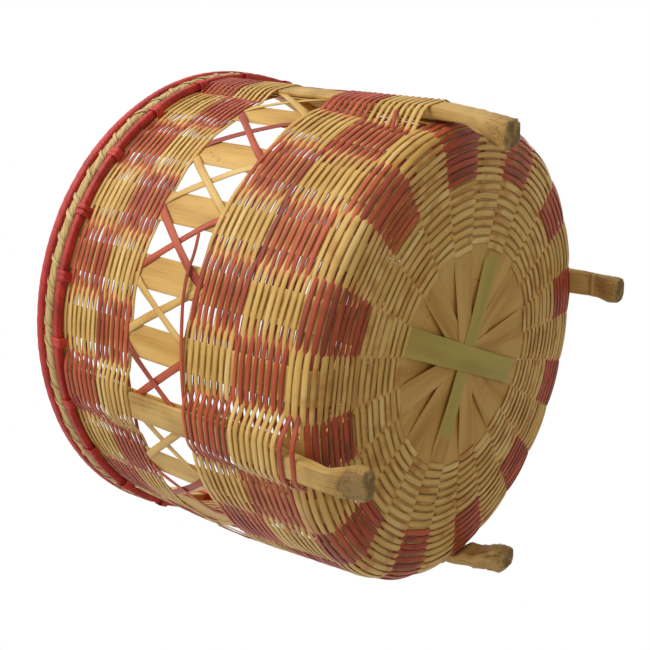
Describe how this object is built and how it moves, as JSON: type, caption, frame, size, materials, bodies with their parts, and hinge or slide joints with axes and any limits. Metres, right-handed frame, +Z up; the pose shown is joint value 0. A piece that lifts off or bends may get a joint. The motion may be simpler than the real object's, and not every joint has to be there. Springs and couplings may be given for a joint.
{
  "type": "woven bamboo basket",
  "caption": "Open, drum-shaped basket of woven split bamboo with an openwork band, a wrapped and lashed rim, and short bamboo legs.",
  "frame": {"origin": "on the floor under the middle of the basket, at the centre of the bottom of its box", "axes": "+Z up along the basket's axis, from the feet to the mouth; the legs stand at 45, 135, 225 and 315 degrees from +X"},
  "size_m": [0.3096, 0.3096, 0.234],
  "materials": {
    "split_bamboo": "smooth split bamboo, fine lengthwise grain, satin",
    "green_bamboo": "green outer skin of split bamboo, satin",
    "bamboo_root": "rough root end of bamboo, matt, pitted at the cut face",
    "natural_weaver": "narrow natural bamboo strip, satin",
    "red_weaver": "narrow bamboo strip dyed brick red, satin",
    "red_wrapping": "flat strip dyed red, wrapped round the hoop, matt",
    "rim_fibre": "natural plant fibre band with pale slanting wraps, matt"
  },
  "bodies": {
    "root": {"base_weave": "natural_weaver", "corner_weave": "natural_weaver", "lattice_natural_strips": "natural_weaver", "lattice_red_strips": "red_weaver", "leg_045": "bamboo_root", "leg_135": "bamboo_root", "leg_225": "bamboo_root", "leg_315": "bamboo_root", "lower_band_weave": "natural_weaver", "middle_weave": "natural_weaver", "rim_core_band": "rim_fibre", "rim_core_binding": "rim_fibre", "rim_inner_band": "split_bamboo", "rim_inner_hoop": "split_bamboo", "rim_lashings": "red_wrapping", "rim_lower_hoop": "red_wrapping", "rim_side_weave": "natural_weaver", "rim_upper_hoop": "red_wrapping", "splint_000": "split_bamboo", "splint_015": "split_bamboo", "splint_030": "split_bamboo", "splint_045": "split_bamboo", "splint_060": "split_bamboo", "splint_075": "green_bamboo", "splint_090": "split_bamboo", "splint_105": "split_bamboo", "splint_120": "split_bamboo", "splint_135": "split_bamboo", "splint_150": "split_bamboo", "splint_165": "green_bamboo", "upper_band_weave": "natural_weaver"}
  },
  "joints": []
}
